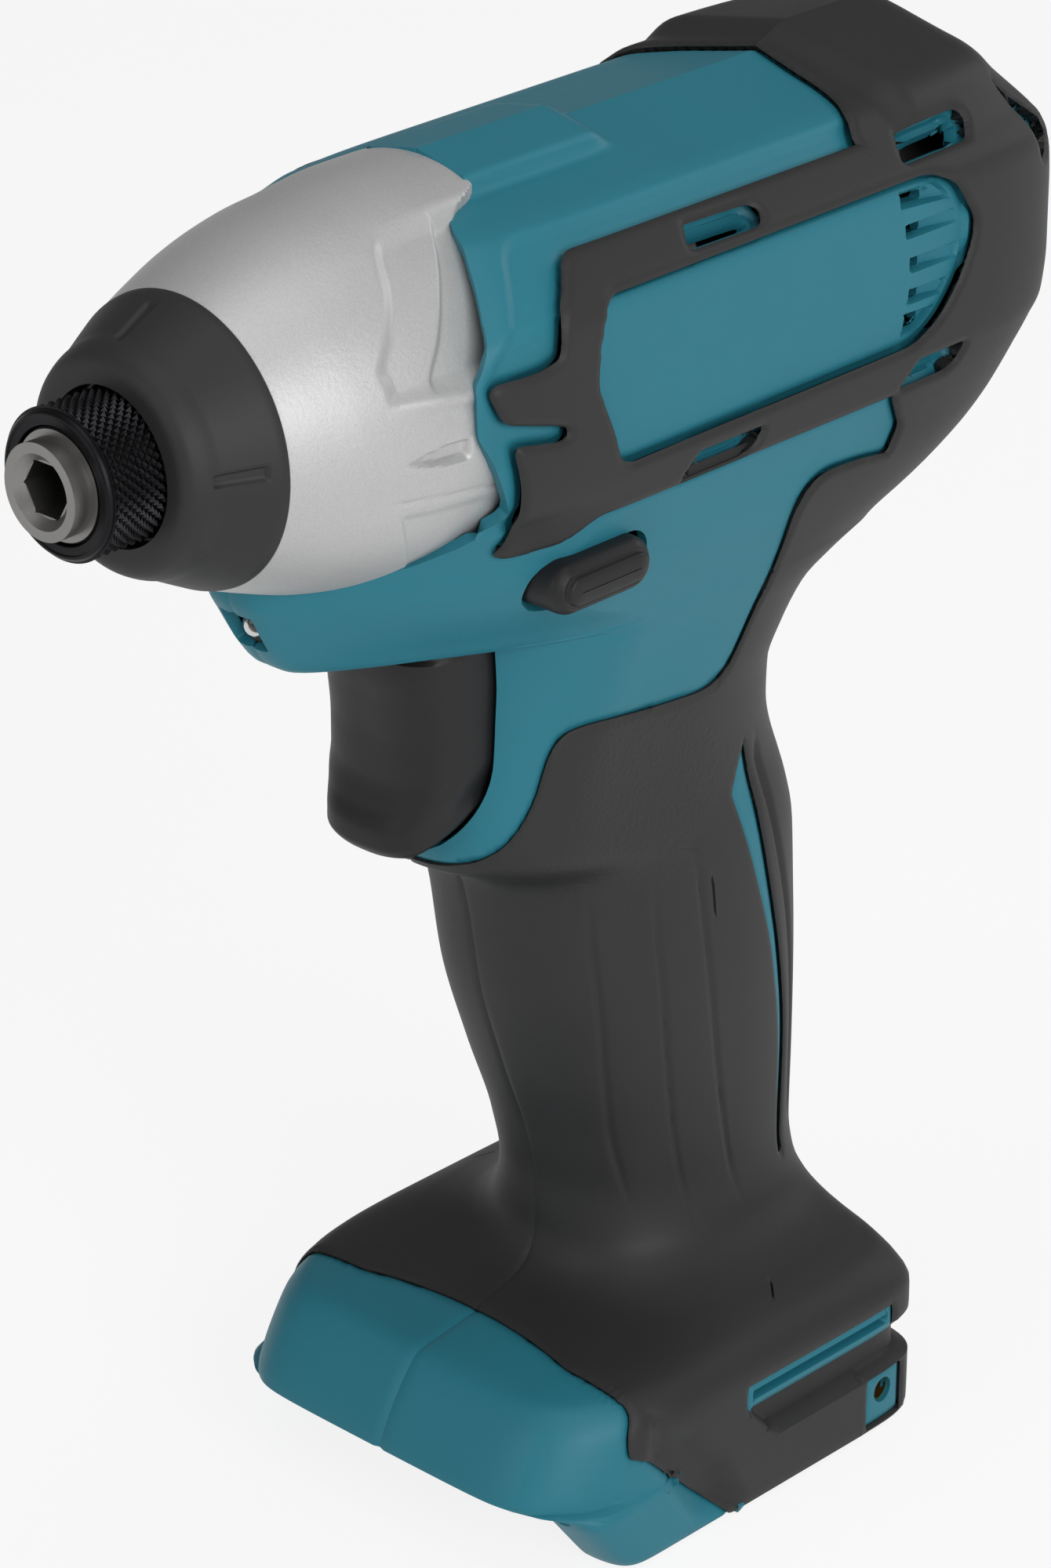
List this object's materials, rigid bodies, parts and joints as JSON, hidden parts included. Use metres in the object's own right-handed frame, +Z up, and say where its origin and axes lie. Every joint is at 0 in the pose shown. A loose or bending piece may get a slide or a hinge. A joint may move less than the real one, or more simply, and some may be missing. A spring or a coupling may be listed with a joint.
{
  "type": "impact driver",
  "caption": "Compact pistol-grip impact driver: knurled hex bit sleeve, cast hammer case, split housing with elastomer grip, trigger, direction lever and open foot for a slide-on battery.",
  "frame": {"origin": "centre of the box's base, on the surface that the foot stands on", "axes": "+Z up, -Y the way the bit points, +X the tool's left side"},
  "size_m": [0.064, 0.153, 0.1834],
  "materials": {
    "housing_plastic": "fine moulded texture, satin",
    "elastomer": "matt, fine grain",
    "cast_case": "sand-cast skin, satin",
    "black_oxide": "black oxide, knurled, oiled",
    "steel": "machined",
    "bronze": "sintered",
    "copper": "enamelled",
    "brass": "turned",
    "ferrite": "pressed powder",
    "black_plastic": "moulded, satin",
    "lens": "clear",
    "wire_cover": "smooth"
  },
  "bodies": {
    "body": {"housing_left": "housing_plastic", "housing_right": "housing_plastic", "grip_left": "elastomer", "grip_right": "elastomer", "hammer_case": "cast_case", "bumper": "elastomer", "housing_screws": "steel", "anvil_bush": "bronze", "anvil_washer": "steel", "ring_gear": "steel", "gear_cover": "cast_case", "spindle_bearing": "steel", "motor_bracket": "cast_case", "bracket_screws": "steel", "front_motor_bush": "bronze", "motor_can": "steel", "magnets": "ferrite", "brush_holder": "black_plastic", "brushes": "ferrite", "rear_motor_bearing": "steel", "switch_body": "black_plastic", "trigger_spring": "steel", "led_lamp": "lens", "led_holder": "black_plastic", "terminal_block": "black_plastic", "battery_contacts": "brass", "hook_nut_left": "brass", "hook_nut_right": "brass", "switch_leads": "wire_cover"},
    "rotor": {"pinion": "steel", "motor_shaft": "steel", "fan": "black_plastic", "armature": "steel", "windings": "copper", "commutator": "copper"},
    "spindle": {"spindle": "steel", "planet_pins": "steel", "hammer_balls": "steel", "spring_washer": "steel", "hammer_spring": "steel"},
    "planet_1": {"planet_gear_1": "steel"},
    "planet_2": {"planet_gear_2": "steel"},
    "planet_3": {"planet_gear_3": "steel"},
    "hammer": {"hammer": "steel"},
    "anvil": {"anvil": "steel", "bit_balls": "steel", "snap_ring": "steel", "sleeve_washer": "black_oxide", "sleeve_spring": "steel"},
    "bit_sleeve": {"bit_sleeve": "black_oxide"},
    "trigger": {"trigger": "black_plastic"},
    "direction_lever": {"direction_lever": "black_plastic"}
  },
  "joints": [
    {"name": "rotor_spin", "type": "hinge", "parent": "body", "child": "rotor", "pos_m": [0, 0, 0.159], "axis": [0, 1, 0], "continuous": true},
    {"name": "spindle_spin", "type": "hinge", "parent": "body", "child": "spindle", "pos_m": [0, 0, 0.159], "axis": [0, 1, 0], "continuous": true},
    {"name": "planet_1_spin", "type": "hinge", "parent": "spindle", "child": "planet_1", "pos_m": [0.00975, 0, 0.159], "axis": [0, 1, 0], "continuous": true},
    {"name": "planet_2_spin", "type": "hinge", "parent": "spindle", "child": "planet_2", "pos_m": [-0.00487, 0, 0.15056], "axis": [0, 1, 0], "continuous": true},
    {"name": "planet_3_spin", "type": "hinge", "parent": "spindle", "child": "planet_3", "pos_m": [-0.00487, 0, 0.16744], "axis": [0, 1, 0], "continuous": true},
    {"name": "hammer_slide", "type": "slide", "parent": "spindle", "child": "hammer", "axis": [0, 1, 0], "range_m": [0, 0.006], "stiffness_N_per_m": 6000, "springref_m": -0.004, "deforming": ["hammer_spring"]},
    {"name": "anvil_spin", "type": "hinge", "parent": "body", "child": "anvil", "pos_m": [0, 0, 0.159], "axis": [0, 1, 0], "continuous": true},
    {"name": "sleeve_slide", "type": "slide", "parent": "anvil", "child": "bit_sleeve", "axis": [0, -1, 0], "range_m": [0, 0.004], "stiffness_N_per_m": 900, "springref_m": -0.003, "deforming": ["sleeve_spring"]},
    {"name": "trigger_slide", "type": "slide", "parent": "body", "child": "trigger", "axis": [0, 1, 0], "range_m": [0, 0.0065], "stiffness_N_per_m": 800, "springref_m": -0.004, "deforming": ["trigger_spring"]},
    {"name": "direction_slide", "type": "slide", "parent": "body", "child": "direction_lever", "axis": [1, 0, 0], "range_m": [-0.003, 0.003]}
  ],
  "couplings": [
    {"joint": "spindle_spin", "follows": "rotor_spin", "ratio": 0.15},
    {"joint": "anvil_spin", "follows": "rotor_spin", "ratio": 0.15},
    {"joint": "planet_1_spin", "follows": "rotor_spin", "ratio": -0.36429},
    {"joint": "planet_2_spin", "follows": "rotor_spin", "ratio": -0.36429},
    {"joint": "planet_3_spin", "follows": "rotor_spin", "ratio": -0.36429}
  ]
}
